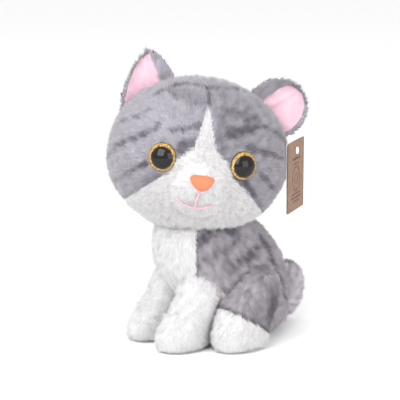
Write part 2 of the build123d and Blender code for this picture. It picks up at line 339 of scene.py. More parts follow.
def fibre_finish(name, colour):
    finish = Finish(name, Roughness=0.95)
    tone = tuple(value * 0.8 for value in colour)
    finish.link(
        finish.ramp(finish.noise(300, 5), (0.3, tone), (0.7, colour)), finish.shader.inputs["Base Color"]
    )
    finish.bump(finish.noise(500, 5), 0.6, 0.001)
    return finish.material


def card_finish(name, dark, light):
    finish = Finish(name, Roughness=0.85)
    finish.link(
        finish.ramp(finish.noise(900, 6, (1, 1, 0.3)), (0.3, dark), (0.7, light)),
        finish.shader.inputs["Base Color"],
    )
    finish.bump(finish.noise(1500, 4), 0.2, 0.0002)
    return finish.material


def plastic_finish(name, colour, roughness):
    finish = Finish(name, Roughness=roughness)
    tone = tuple(value * 0.92 for value in colour)
    finish.link(
        finish.ramp(finish.noise(400, 3), (0.3, tone), (0.7, colour)), finish.shader.inputs["Base Color"]
    )
    return finish.material


# ---- mesh helpers ----
def start_fresh():
    if bpy.context.object and bpy.context.object.mode != "OBJECT":
        bpy.ops.object.mode_set(mode="OBJECT")
    bpy.ops.object.select_all(action="DESELECT")


def settle(obj):
    """Leave an object at the origin with its place in its mesh."""
    start_fresh()
    obj.select_set(True)
    bpy.context.view_layer.objects.active = obj
    bpy.ops.object.transform_apply(location=True, rotation=True, scale=True)


def apply_modifier(obj, kind, **settings):
    start_fresh()
    obj.select_set(True)
    bpy.context.view_layer.objects.active = obj
    modifier = obj.modifiers.new(kind.lower(), kind)
    for key, value in settings.items():
        setattr(modifier, key, value)
    bpy.ops.object.modifier_apply(modifier=modifier.name)


def read_points(mesh):
    points = np.empty(len(mesh.vertices) * 3)
    mesh.vertices.foreach_get("co", points)
    return points.reshape(-1, 3) / MM


def write_points(mesh, points):
    mesh.vertices.foreach_set("co", (points * MM).ravel())
    mesh.update()


def read_normals(mesh):
    normals = np.empty(len(mesh.vertices) * 3)
    mesh.vertices.foreach_get("normal", normals)
    return normals.reshape(-1, 3)


def mesh_object(name, points, faces):
    """A new object from points in millimetres and a list of faces."""
    mesh = bpy.data.meshes.new(name)
    mesh.from_pydata([tuple(point) for point in np.asarray(points) * MM], [], faces)
    mesh.update()
    made = bpy.data.objects.new(name, mesh)
    bpy.context.scene.collection.objects.link(made)
    return made


def ring_faces(first, bands, turns):
    """Faces between rings of points that follow each other, from the first point of the first ring."""
    faces = []
    for band in range(bands):
        start = first + band * turns
        for turn in range(turns):
            following = (turn + 1) % turns
            faces.append((start + turn, start + turns + turn, start + turns + following, start + following))
    return faces


def paint(mesh, attribute, colours):
    layer = mesh.color_attributes.new(attribute, "FLOAT_COLOR", "POINT")
    layer.data.foreach_set("color", np.column_stack([colours, np.ones(len(colours))]).ravel())


def shade_smooth(mesh):
    mesh.polygons.foreach_set("use_smooth", np.ones(len(mesh.polygons), dtype=bool))


def finish_piece(piece, body, material=None, nodes=()):
    if material:
        piece.data.materials.clear()
        piece.data.materials.append(material)
    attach(piece, body)
    if nodes:
        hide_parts(*nodes)


def stuffed_form(name, rings, turns):
    """A closed form drawn up from its lowest ring: each ring is its middle, half width and half length."""
    start_fresh()
    middle, wide, long = rings[0]
    bpy.ops.mesh.primitive_circle_add(
        vertices=turns, radius=MM, fill_type="NGON", location=Vector(middle) * MM
    )
    form = bpy.context.object
    form.name = name
    settle(form)
    bpy.ops.object.mode_set(mode="EDIT")
    bpy.ops.mesh.select_all(action="SELECT")
    bpy.ops.transform.resize(value=(wide, long, 1), center_override=Vector(middle) * MM)
    for before, ring in zip(rings, rings[1:]):
        step = (Vector(ring[0]) - Vector(before[0])) * MM
        bpy.ops.mesh.extrude_region_move(TRANSFORM_OT_translate={"value": step})
        spread = (ring[1] / before[1], ring[2] / before[2], 1)
        bpy.ops.transform.resize(value=spread, center_override=Vector(ring[0]) * MM)
    bpy.ops.mesh.select_all(action="SELECT")
    bpy.ops.mesh.normals_make_consistent(inside=False)
    bpy.ops.object.mode_set(mode="OBJECT")
    apply_modifier(form, "SUBSURF", levels=2, render_levels=2)
    shade_smooth(form.data)
    return form


# ---- pile ----
def grow_pile(name, skin, colour_of, comb_of, length, lean, seed, density=STRANDS_PER_MM2, jitter=0.32):
    """Short tapered strands rooted all over a skin, combed along it and gathered in small tufts."""
    rng = np.random.default_rng(seed)
    mesh = skin.data
    mesh.calc_loop_triangles()
    points = read_points(mesh)
    normals = read_normals(mesh)
    corners = np.empty(len(mesh.loop_triangles) * 3, dtype=np.int32)
    mesh.loop_triangles.foreach_get("vertices", corners)
    corners = corners.reshape(-1, 3)
    a, b, c = points[corners[:, 0]], points[corners[:, 1]], points[corners[:, 2]]
    areas = np.linalg.norm(np.cross(b - a, c - a), axis=1) / 2
    count = int(areas.sum() * density)
    chosen = rng.choice(len(areas), size=count, p=areas / areas.sum())
    first, second = rng.random(count), rng.random(count)
    flip = first + second > 1
    first[flip], second[flip] = 1 - first[flip], 1 - second[flip]
    share = np.column_stack([1 - first - second, first, second])
    roots = np.einsum("ij,ijk->ik", share, points[corners[chosen]])
    outward = unit(np.einsum("ij,ijk->ik", share, normals[corners[chosen]]))

    comb = comb_of(roots, outward)
    comb = unit(comb - outward * np.sum(comb * outward, axis=1, keepdims=True))
    tuft = np.column_stack([waves(roots, TUFT_SIZE, seed + axis) for axis in range(3)])
    fine = rng.normal(size=(count, 3))
    angle = radians(lean)
    way = unit(outward * cos(angle) + comb * sin(angle) + tuft * jitter + fine * jitter * 0.55)
    sunk = np.sum(way * outward, axis=1, keepdims=True)
    way = unit(way + outward * np.maximum(0.25 - sunk, 0))
    reach = length * rng.uniform(0.7, 1.2, size=(count, 1))
    width = STRAND_WIDTH * rng.uniform(0.8, 1.25, size=(count, 1))

    side = unit(np.cross(way, rng.normal(size=(count, 3))))
    other = np.cross(way, side)
    foot = roots - outward * ROOT_DEPTH
    base = [foot + (side * cos(turn) + other * sin(turn)) * width / 2 for turn in THIRDS]
    tips = roots + way * reach
    strands = np.stack([*base, tips], axis=1).reshape(-1, 3)
    strands[:, 2] = np.maximum(strands[:, 2], FLOOR_GAP)
    round_out = [unit(outward + (side * cos(turn) + other * sin(turn)) * 0.45) for turn in THIRDS]
    strand_normals = np.stack([*round_out, unit(outward + way * 0.3)], axis=1).reshape(-1, 3)

    pattern = np.array([[0, 1, 3], [1, 2, 3], [2, 0, 3], [0, 2, 1]])
    faces = (np.arange(count)[:, None, None] * 4 + pattern).reshape(-1, 3)
    pile = bpy.data.meshes.new(name)
    pile.vertices.add(len(strands))
    pile.vertices.foreach_set("co", (strands * MM).ravel())
    pile.loops.add(faces.size)
    pile.loops.foreach_set("vertex_index", faces.ravel().astype(np.int32))
    pile.polygons.add(len(faces))
    pile.polygons.foreach_set("loop_start", np.arange(0, faces.size, 3, dtype=np.int32))
    pile.update(calc_edges=True)
    shade_smooth(pile)

    tone = 1 + 0.08 * rng.normal(size=count) + 0.06 * waves(roots, 4.5, seed + 5)
    colours = np.clip(colour_of(roots + way * reach * 0.6, rng) * tone[:, None], 0, 1)
    # Painted shade and light along each strand: its three root corners are darkened to 0.86 for the shade
    # deep in the pile, and its tip is lifted to 1.03 as painted light.
    root_shade_tip_light = np.array([0.86, 0.86, 0.86, 1.03])
    spread = np.clip(colours[:, None, :] * root_shade_tip_light[None, :, None], 0, 1).reshape(-1, 3)
    paint(pile, "pile_colour", spread)

    cells = int(np.ceil(sqrt(count)))
    corner = np.column_stack([np.arange(count) % cells, np.arange(count) // cells])
    inside = np.array([[0.1, 0.1], [0.9, 0.1], [0.5, 0.9]])
    places = (corner[:, None, None, :] + inside[None, None, :, :]) / cells
    places = np.broadcast_to(places, (count, 4, 3, 2)).reshape(-1, 2)
    chart = pile.uv_layers.new(name="OFBake")
    chart.data.foreach_set("uv", places.ravel())
    pile.normals_split_custom_set_from_vertices(strand_normals.tolist())

    made = bpy.data.objects.new(name, pile)
    bpy.context.scene.collection.objects.link(made)
    return made


def split_skin(skin, regions):
    """Cut a skin into panels: each region is a name and a true-or-false value for every face."""
    panels = {}
    for name, inside in regions.items():
        mesh = skin.data.copy()
        mesh.name = name
        panel = bpy.data.objects.new(name, mesh)
        bpy.context.scene.collection.objects.link(panel)
        work = bmesh.new()
        work.from_mesh(mesh)
        work.faces.ensure_lookup_table()
        gone = [face for face, kept in zip(work.faces, inside) if not kept]
        bmesh.ops.delete(work, geom=gone, context="FACES")
        work.to_mesh(mesh)
        work.free()
        panels[name] = panel
    bpy.data.objects.remove(skin)
    return panels


def face_middles(mesh):
    middles = np.empty(len(mesh.polygons) * 3)
    mesh.polygons.foreach_get("center", middles)
    return middles.reshape(-1, 3) / MM


def cover(panel, body, finish, node, grow):
    """A plush panel: its pile, then its backing cloth with a real thickness."""
    finish_piece(grow(panel), body, finish)
    apply_modifier(panel, "SOLIDIFY", thickness=CLOTH * MM, offset=-1.0)
    points = read_points(panel.data)
    # The backing cloth takes the pile's colours darkened to 0.85: painted shade under the pile.
    paint(panel.data, "pile_colour", grow.colour_of(points, np.random.default_rng(0)) * 0.85)
    finish_piece(panel, body, finish, nodes=(node,))


class Grower:
    """How the pile of one panel grows."""

    def __init__(self, name, colour_of, comb_of, length, lean, seed, **more):
        self.name = name
        self.colour_of = colour_of
        self.comb_of = comb_of
        self.length = length
        self.lean = lean
        self.seed = seed
        self.more = more

    def __call__(self, panel):
        return grow_pile(
            self.name, panel, self.colour_of, self.comb_of, self.length, self.lean, self.seed, **self.more
        )


# ---- head shape ----
def head_surface(ways):
    """How far the head's pressed surface is from its middle, along unit directions in its frame."""
    egg = 1 / np.sqrt(
        (ways[:, 0] / HEAD_HALF_WIDTH) ** 2 + (ways[:, 1] ** 2 + ways[:, 2] ** 2) / HEAD_RADIUS**2
    )
    along = ways @ MUZZLE_MIDDLE
    inside = along**2 - (MUZZLE_MIDDLE @ MUZZLE_MIDDLE - MUZZLE_RADIUS**2)
    muzzle = np.where((inside > 0) & (along > 0), along + np.sqrt(np.maximum(inside, 0)), 0)
    blend = 2.2
    gap = np.clip((muzzle - egg) / blend, -1, 1)
    joined = np.maximum(egg, muzzle) + blend / 4 * (1 - np.abs(gap)) ** 2 * (muzzle > 0)
    return joined


def near(points, middle, size):
    return np.exp(-np.sum((points - np.array(middle)) ** 2, axis=1) / size**2)


def on_head(x, y):
    """The place on the front of the head at a spot of the face plane."""
    z = HEAD_RADIUS * sqrt(max(1 - (x / HEAD_HALF_WIDTH) ** 2 - (y / HEAD_RADIUS) ** 2, 0.0))
    return np.array([x, y, z])


def make_head_skin():
    start_fresh()
    bpy.ops.mesh.primitive_ico_sphere_add(subdivisions=6, radius=1.0)
    skin = bpy.context.object
    skin.name = "head_skin"
    ways = unit(read_points(skin.data))
    points = ways * head_surface(ways)[:, None]
    swell = -1.4 * near(points, on_head(EYE_SPREAD, -EYE_DROP), 10)
    swell += -1.4 * near(points, on_head(-EYE_SPREAD, -EYE_DROP), 10)
    swell += 1.6 * near(points, (43, -24, 20), 16) + 1.6 * near(points, (-43, -24, 20), 16)
    swell += 0.5 * waves(points, 38, 3)
    crown_seam = np.exp(-((points[:, 0] / 1.6) ** 2)) * smooth_step(26, 34, points[:, 1])
    swell -= 0.7 * crown_seam
    points += ways * (swell - BACKING)[:, None]
    write_points(skin.data, to_world(points))
    shade_smooth(skin.data)
    return skin


WHITE_EDGE = [(0, 30), (3.4, 17), (7.2, 2.6), (17, -6), (20, -14), (31, -22), (44, -33), (57, -46), (57, -90)]


def white_reach(y):
    """Half the width of the white part of the face at a height."""
    heights = [point[1] for point in WHITE_EDGE][::-1]
    halves = [point[0] for point in WHITE_EDGE][::-1]
    return np.interp(y, heights, halves)


def is_white_face(points):
    return (points[:, 2] > 0) & (np.abs(points[:, 0]) < white_reach(points[:, 1])) & (points[:, 1] < 30)


def is_muzzle(points):
    away = np.linalg.norm(points - MUZZLE_MIDDLE, axis=1)
    return (away < MUZZLE_RADIUS + 0.6) & (points[:, 2] > 20)


# Dark strokes printed on the face: half their width, then their spots on the face plane.
FACE_STROKES = [
    (1.9, 1.0, (-32, 34.5), (-25, 39), (-18.4, 42.3), (-9.2, 42.9), (0.4, 41.3)),
    (2.0, 1.0, (0.4, 41.3), (9.2, 41.5), (18.9, 44), (27, 42.2)),
    (1.5, 1.0, (0.4, 41.3), (0.8, 30.5)),
    (5.0, 0.42, (-20, 37), (-11, 35), (-5, 33)),
    (1.5, 0.7, (-25, 38), (-18, 32.5), (-6, 31), (0, 31)),
    (1.6, 0.95, (-53, 14.5), (-47, 17.5), (-40.3, 19.3), (-35.5, 24)),
    (1.9, 1.0, (-56, -8), (-53.5, -1), (-46.7, 3.7), (-38.4, 7.6), (-31.7, 11.2), (-29.5, 15)),
    (1.9, 1.0, (-52, -22.5), (-46.3, -18.5), (-40.3, -13), (-34.6, -9.5)),
    (2.6, 0.95, (-42, -33), (-34.7, -26.3), (-27.5, -21), (-21.5, -18.5)),
    (3.4, 0.5, (-33, -21), (-26, -17)),
    (2.0, 1.0, (-21, 12), (-13, 13.5), (-3.2, 16.8)),
    (3.2, 0.95, (-15.5, 0.5), (-11.5, 4), (-5.5, 6.5)),
    (3.8, 0.6, (11.7, 27.6), (19.4, 26.7), (27.2, 24.9), (33.1, 24.6)),
    (3.4, 0.95, (14, 14), (21.5, 15.5), (26.8, 18.3)),
    (2.0, 1.0, (26.8, 18.3), (34.3, 21), (43.5, 19.3), (54, 13.5)),
    (2.0, 1.0, (27, 7.3), (33, 5.3), (40.9, 4.8), (52, 2.5)),
    (2.0, 0.9, (37.8, -9), (43.5, -13.9), (51, -18)),
    (2.4, 0.95, (23, -12.5), (29, -16.5), (34, -21), (38.5, -27), (43, -33)),
    (2.6, 0.5, (9, 24), (8.6, 12), (12, 2)),
]


def stroke_tone(points):
    """How deep in a printed stroke of the face each point is, from 0 to 1."""
    tone = np.zeros(len(points))
    for half, depth, *spots in FACE_STROKES:
        spots = np.array(spots, dtype=float)
        steps = np.linspace(0, len(spots) - 1, (len(spots) - 1) * 5 + 1)
        fine = [[np.interp(step, range(len(spots)), spots[:, axis]) for axis in (0, 1)] for step in steps]
        places = [on_head(*spot) for spot in fine]
        for start, end in zip(places, places[1:]):
            run = end - start
            share = np.clip(((points - start) @ run) / (run @ run), 0, 1)
            gap = np.linalg.norm(points - start - share[:, None] * run, axis=1)
            tone = np.maximum(tone, depth * (1 - smooth_step(half * 0.4, half * 1.7, gap)))
    return tone


def head_colour(roots, rng):
    points = to_head(roots)
    ragged = points + rng.normal(scale=0.35, size=points.shape)
    front = smooth_step(-8, -2, points[:, 2])
    wobble = points + np.column_stack([waves(points, 10, 60 + axis) for axis in range(3)]) * 0.7
    wobble += rng.normal(scale=0.45, size=points.shape)
    tone = stroke_tone(wobble) * front
    bend = 1.3 * np.sin(wobble[:, 0] / 15) + 1.1 * waves(points, 34, 23)
    band = 0.5 + 0.5 * np.sin(wobble[:, 1] / 2.9 + bend)
    back_band = smooth_step(0.66, 0.98, band) * (1 - smooth_step(-18, -4, points[:, 2]))
    back_band *= smooth_step(-0.9, 0.1, waves(points, 24, 24))
    tone = np.maximum(tone, back_band * 0.8)
    rough = smooth_step(-6, 10, points[:, 0])
    tone = tone * (0.88 + 0.18 * waves(points, 6, 21)) + rough * 0.3 * np.maximum(waves(points, 7, 22), 0)
    pale = 1.04 - 0.06 * rough + (0.05 + 0.05 * rough) * waves(points, 9, 31)
    grey = GREY * pale[:, None]
    colours = grey + (DARK - grey) * np.clip(tone, 0, 1)[:, None] * 0.86
    white = is_white_face(ragged) | is_muzzle(ragged)
    colours[white] = HEAD_WHITE
    return colours


def head_comb(roots, outward):
    """From the nose outwards, back over the crown and down at the nape."""
    points = to_head(roots)
    away = points - np.array([0, -12, 52])
    away[:, 1] -= 14 * smooth_step(0, 40, -points[:, 2])
    return away @ HEAD_AXES


def make_head():
    skin = make_head_skin()
    middles = to_head(face_middles(skin.data))
    muzzle = is_muzzle(middles)
    white = is_white_face(middles) & ~muzzle
    front = (middles[:, 2] > 0) & ~muzzle & ~white
    back = middles[:, 2] <= 0
    left = middles[:, 0] > 0
    regions = {
        "face_white_plush": white,
        "muzzle_plush": muzzle,
        "face_left_plush": front & left,
        "face_right_plush": front & ~left,
        "head_back_left_plush": back & left,
        "head_back_right_plush": back & ~left,
    }
    for index, (name, panel) in enumerate(split_skin(skin, regions).items()):
        pale = name in ("face_white_plush", "muzzle_plush")
        node = name.replace("plush", "panel")
        length = HEAD_PILE * (0.7 if name == "muzzle_plush" else 1)
        grower = Grower(
            name.replace("plush", "pile"), head_colour, head_comb, length, 42, 100 + index * 10, jitter=0.42
        )
        finish = white_plush if pale else grey_plush
        cover(panel, "head", finish, node, grower)


# ---- eyes, nose and mouth ----
def eye_axes(side):
    place = on_head(side * EYE_SPREAD, -EYE_DROP)
    out = unit(place / np.array([HEAD_HALF_WIDTH**2, HEAD_RADIUS**2, HEAD_RADIUS**2]))
    across = unit(np.cross([0, 1, 0], out))
    upright = np.cross(out, across)
    return place, across, upright, out


def make_eye(side, name):
    """A glossy dome: black pupil, a gold ring that shows most on the outer side, and a thin dark rim."""
    place, across, upright, out = eye_axes(side)
    rings, turns = 22, 64
    dome = (EYE_RADIUS**2 + EYE_HEIGHT**2) / (2 * EYE_HEIGHT)
    points = [(0, 0, EYE_HEIGHT)]
    for ring in range(1, rings + 1):
        away = EYE_RADIUS * sin(pi / 2 * ring / rings)
        rise = EYE_HEIGHT - dome + sqrt(dome**2 - away**2)
        for turn in range(turns):
            angle = 2 * pi * turn / turns
            points.append((away * cos(angle), away * sin(angle), rise))
    points.append((0, 0, -0.6))
    faces = [(0, 1 + turn, 1 + (turn + 1) % turns) for turn in range(turns)]
    faces += ring_faces(1, rings - 1, turns)
    rim = 1 + (rings - 1) * turns
    faces += [(rim + turn, len(points) - 1, rim + (turn + 1) % turns) for turn in range(turns)]
    local = np.array(points, dtype=float)
    seat = place - out * EYE_SINK
    world = to_world(seat + local[:, :1] * across + local[:, 1:2] * upright + local[:, 2:] * out)
    eye = mesh_object(f"eye_{name}_dome", world, faces)
    shade_smooth(eye.data)
    rng = np.random.default_rng(7)
    from_pupil = np.hypot(local[:, 0] + side * 0.8, local[:, 1] + 0.2)
    from_middle = np.hypot(local[:, 0], local[:, 1])
    gold = smooth_step(*GOLD_STARTS, from_pupil) * (1 - smooth_step(*GOLD_ENDS, from_middle))
    flake = rng.uniform(0.25, 1.9, size=len(local))[:, None]
    ring_colour = np.array([0.36, 0.22, 0.055]) * flake
    black = np.array([0.006, 0.005, 0.006])
    paint(eye.data, "eye_colour", black + (np.clip(ring_colour, 0, 1) - black) * gold[:, None])
    finish_piece(eye, "head", eye_dome, nodes=(f"eye_{name}_lens",))


def on_muzzle(x, y, rise):
    """A place a little proud of the muzzle at a spot of the face plane."""
    reach = MUZZLE_RADIUS + rise
    z = MUZZLE_MIDDLE[2] + sqrt(reach**2 - x**2 - (y - MUZZLE_MIDDLE[1]) ** 2)
    return np.array([x, y, z])


def make_nose():
    """A padded rounded triangle of satin stitch."""
    rings, turns = 9, 48
    points = []
    for ring in range(1, rings + 1):
        share = ring / rings
        for turn in range(turns):
            angle = 2 * pi * turn / turns
            wide = 7.6 * cos(angle) * (1 + 0.16 * sin(angle))
            tall = 5.0 * sin(angle) + 0.9 * cos(2 * angle)
            x, y = wide * share, tall * share - NOSE_DROP
            points.append(on_muzzle(x, y, 0.8 + 2.6 * sqrt(max(1 - share**2, 0))))
    faces = ring_faces(0, rings - 1, turns) + [tuple(range(turns))]
    nose = mesh_object("nose_stitched", to_world(np.array(points)), faces)
    apply_modifier(nose, "SOLIDIFY", thickness=1.4 * MM, offset=-1.0)
    shade_smooth(nose.data)
    finish_piece(nose, "head", nose_thread, nodes=("nose_patch",))


def thread_line(name, spots, radius):
    """A laid thread over the muzzle through spots of the face plane."""
    curve = bpy.data.curves.new(name, "CURVE")
    curve.dimensions = "3D"
    curve.bevel_depth = radius * MM
    curve.bevel_resolution = 3
    curve.use_fill_caps = True
    line = curve.splines.new("NURBS")
    line.points.add(len(spots) - 1)
    for point, (x, y) in zip(line.points, spots):
        point.co = (*(to_world(on_muzzle(x, y, 1.9)) * MM), 1)
    line.order_u = 3
    line.use_endpoint_u = True
    thread = bpy.data.objects.new(name, curve)
    bpy.context.scene.collection.objects.link(thread)
    start_fresh()
    thread.select_set(True)
    bpy.context.view_layer.objects.active = thread
    bpy.ops.object.convert(target="MESH")
    return bpy.context.object


def make_mouth():
    cleft = thread_line("mouth_cleft", [(-1.2, -24.5), (-1.8, -28), (-2.3, -31), (-2.6, -34.4)], 0.5)
    smile = [(-14, -30.6), (-11, -32.6), (-7, -34.1), (-2.6, -34.9), (2.5, -34.3), (7.8, -32.2)]
    lip = thread_line("mouth_lip", smile, 0.38)
    start_fresh()
    cleft.select_set(True)
    lip.select_set(True)
    bpy.context.view_layer.objects.active = lip
    bpy.ops.object.join()
    lip.name = "mouth_threads"
    shade_smooth(lip.data)
    finish_piece(lip, "head", mouth_thread, nodes=("mouth_stitching",))


# ---- ears ----
EAR_CELLS = 20  # across and up each ear
EAR_CLOTH = 0.7
SATIN_CLOTH = 0.6
EARS = {
    "left": {
        "near": [(28, 41.5), (43, 53.5), (60.5, 51.5)],
        "far": [(59, 20), (67.5, 35), (60.5, 51.5)],
        "cup": 7.0,
    },
    "right": {
        "near": [(-19.5, 46.5), (-28.5, 58.5), (-39.6, 63.5)],
        "far": [(-52, 23), (-49.5, 44), (-39.6, 63.5)],
        "cup": 4.0,
    },
}


def bow(ends, share):
    """A place along a bowed edge through three spots."""
    start, middle, end = (np.array(spot, dtype=float) for spot in ends)
    pull = 2 * middle - (start + end) / 2
    return (1 - share) ** 2 * start + 2 * share * (1 - share) * pull + share**2 * end


def ear_sheet(name, part, across, upward, inset, forward, crease=0.0):
    """A cupped ear sheet between its two edges, from inside the head to near the tip."""
    ear = EARS[name]
    points = []
    for row in range(upward + 1):
        rise = row / upward
        share = rise * (1 - inset[0] * 0.5)
        near_edge, far_edge = bow(ear["near"], share), bow(ear["far"], share)
        for column in range(across + 1):
            side = inset[0] + (1 - inset[0] - inset[1]) * column / across
            spot = near_edge + (far_edge - near_edge) * side
            hollow = ear["cup"] * (1 - (2 * side - 1) ** 2) * (1 - share * 0.7)
            fold = crease * np.exp(-(((side - 0.36 - 0.25 * share) / 0.06) ** 2)) * (1 - share)
            points.append((spot[0], spot[1], forward - hollow - fold))
    points = np.array(points)
    low_row = points[: across + 1]
    sunk = low_row * np.array([0.86, 0.86, 1])
    points = np.vstack([sunk, points])
    faces = []
    for row in range(upward + 1):
        for column in range(across):
            start = row * (across + 1) + column
            faces.append((start, start + 1, start + across + 2, start + across + 1))
    sheet = mesh_object(f"ear_{name}_{part}", to_world(points), faces)
    shade_smooth(sheet.data)
    return sheet


def ear_colour(roots, rng):
    points = to_head(roots)
    pale = 1 + 0.1 * waves(points, 12, 41)
    return GREY * 1.04 * pale[:, None]


def ear_comb(roots, outward):
    points = to_head(roots)
    return (points * np.array([1, 1, 0])) @ HEAD_AXES


def make_ear(name, seed):
    body = f"ear_{name}"
    shell = ear_sheet(name, "cloth", EAR_CELLS, EAR_CELLS, (0.0, 0.0), 0.5)
    lining = ear_sheet(name, "satin", 28, EAR_CELLS, (0.24, 0.06), 1.3, -1.5)
    middle = to_world(np.array([0, 0, -60.0]))
    points = read_points(shell.data)
    normals = read_normals(shell.data)
    if np.sum((points.mean(axis=0) - middle) * normals.mean(axis=0)) > 0:
        shell.data.flip_normals()
    pile = grow_pile(f"ear_{name}_pile", shell, ear_colour, ear_comb, 3.2, 55, seed, density=4.5)
    finish_piece(pile, body, grey_plush)
    rim = rim_pile(name, seed + 5)
    finish_piece(rim, body, grey_plush)
    apply_modifier(shell, "SOLIDIFY", thickness=EAR_CLOTH * MM, offset=0.0)
    paint(shell.data, "pile_colour", ear_colour(read_points(shell.data), None))
    finish_piece(shell, body, grey_plush, nodes=(f"ear_{name}_shell",))
    apply_modifier(lining, "SOLIDIFY", thickness=SATIN_CLOTH * MM, offset=0.0)
    apply_modifier(lining, "SUBSURF", levels=1, render_levels=1)
    finish_piece(lining, body, pink_satin, nodes=(f"ear_{name}_lining",))


def rim_pile(name, seed):
    """Pile round the front of the ear's edge, where the grey cloth turns over."""
    band = ear_sheet(name, "rim", EAR_CELLS, EAR_CELLS, (0.0, 0.0), 0.9)
    if read_normals(band.data).mean(axis=0) @ face_way < 0:
        band.data.flip_normals()
    row, column = np.divmod(np.arange(len(band.data.polygons)), EAR_CELLS)
    edge = (column < 5) | (column > 18) | (row > 17)
    guide = split_skin(band, {f"ear_{name}_rim_guide": edge})[f"ear_{name}_rim_guide"]
    pile = grow_pile(f"ear_{name}_rim_pile", guide, ear_colour, ear_comb, 2.8, 50, seed, density=5.5)
    bpy.data.objects.remove(guide)
    return pile


# ---- body ----
BODY_RINGS = [
    (0.5, 0, 20, 20),
    (4, -1, 27, 27),
    (11, -3, 32, 32),
    (25, -9, 35.5, 38.5),
    (41, -16, 33.5, 43.5),
    (56, -21.5, 31, 44.5),
    (69, -26.5, 28, 39.5),
    (78.5, -31, 25.5, 31.5),
    (82.5, -33, 20, 24),
]
CHEST_MIDDLE_Y = -33.0
CHEST_ANGLE = radians(49)
BELLY_FRONT = (-64.0, 48.0)
BELLY_BACK = (30.0, 5.0)


def is_belly(points):
    slope = (BELLY_BACK[1] - BELLY_FRONT[1]) / (BELLY_BACK[0] - BELLY_FRONT[0])
    return points[:, 2] < BELLY_FRONT[1] + slope * (points[:, 1] - BELLY_FRONT[0])


def is_chest(points):
    ahead = CHEST_MIDDLE_Y - points[:, 1]
    return (ahead > 0) & (np.abs(points[:, 0]) < ahead * tan(CHEST_ANGLE))


# Dark bands printed on each side: half their width, how dark they are, then their spots as Y and Z.
FLANK_BANDS = [
    (2.4, 0.9, (-50, 82), (-38, 79), (-26, 74)),
    (2.6, 0.85, (-60, 58), (-52, 69), (-42, 75)),
    (2.2, 0.7, (-56, 50), (-46, 58), (-34, 64), (-24, 70)),
    (3.0, 0.95, (-44, 42), (-34, 52), (-20, 58), (-8, 62)),
    (2.4, 0.8, (-34, 36), (-26, 44), (-14, 49)),
    (2.8, 0.9, (-20, 38), (-6, 42), (6, 48)),
    (2.4, 0.9, (-2, 68), (6, 50), (14, 34), (20, 22)),
    (2.2, 0.8, (16, 46), (24, 30), (27, 16)),
]


def flank_tone(points):
    """How deep in a dark band each point of the sides is, from 0 to 1."""
    tone = np.zeros(len(points))
    for half, depth, *spots in FLANK_BANDS:
        spots = np.array(spots, dtype=float)
        for start, end in zip(spots, spots[1:]):
            run = end - start
            share = np.clip(((points[:, 1:] - start) @ run) / (run @ run), 0, 1)
            gap = np.linalg.norm(points[:, 1:] - start - share[:, None] * run, axis=1)
            tone = np.maximum(tone, depth * (1 - smooth_step(half * 0.3, half * 1.9, gap)))
    return tone


def body_colour(roots, rng):
    points = np.array(roots)
    ragged = points + (rng.normal(scale=0.4, size=points.shape) if rng is not None else 0)
    swirl = points + np.column_stack([waves(points, 12, 80 + axis) for axis in range(3)]) * 1.6
    tone = flank_tone(swirl) * (0.85 + 0.4 * waves(points, 5, 91))
    tone += 0.4 * np.maximum(waves(points, 7, 93), 0)
    tone *= 1 - near(np.column_stack([np.abs(points[:, 0]), points[:, 1:]]), (24, -40, 47), 13)
    pale = 1.16 + 0.18 * waves(points, 5, 92)
    grey = GREY * BODY_TINT * pale[:, None]
    colours = grey + (DARK - grey) * np.clip(tone, 0, 1)[:, None] * 0.82
    chest = is_chest(ragged)
    belly = is_belly(ragged)
    # Painted shadow: the grey pile is darkened by up to 0.45 in a thin line along the chest seam in front,
    # where the pile parts.
    seam = np.abs(CHEST_MIDDLE_Y - points[:, 1] - np.abs(points[:, 0]) / tan(CHEST_ANGLE))
    colours *= (1 - 0.45 * (1 - smooth_step(0.4, 1.8, seam)) * (points[:, 1] < -40))[:, None]
    # The front of the belly is cream, darker than the chest white: partly its own cream tone, partly painted
    # shade under the body.
    colours[belly & (points[:, 1] < 2)] = CREAM
    colours[chest] = WHITE
    return colours


def body_comb(roots, outward):
    return np.tile([0.0, 0.25, -1.0], (len(roots), 1))


def make_body():
    rings = [((0, y, height), wide - BACKING, long - BACKING) for height, y, wide, long in BODY_RINGS]
    skin = stuffed_form("body_skin", rings, 40)
    points = read_points(skin.data)
    normals = read_normals(skin.data)
    points += normals * (0.2 + 0.45 * waves(points, 26, 11))[:, None]
    points[:, 2] = np.maximum(points[:, 2], 0.6)
    write_points(skin.data, points)
    middles = face_middles(skin.data)
    belly = is_belly(middles)
    chest = is_chest(middles) & ~belly
    left = middles[:, 0] > 0
    rest = ~belly & ~chest
    regions = {
        "chest_plush": chest,
        "belly_plush": belly,
        "flank_left_plush": rest & left,
        "flank_right_plush": rest & ~left,
    }
    for index, (name, panel) in enumerate(split_skin(skin, regions).items()):
        pale = name in ("chest_plush", "belly_plush")
        finish = white_plush if pale else grey_plush
        density = 2.2 if name == "belly_plush" else STRANDS_PER_MM2
        length = 2.0 if name == "belly_plush" else BODY_PILE
        grower = Grower(
            name.replace("plush", "pile"), body_colour, body_comb, length, 58, 300 + index * 10,
            density=density, jitter=0.42,
        )
        cover(panel, "body", finish, name.replace("plush", "panel"), grower)


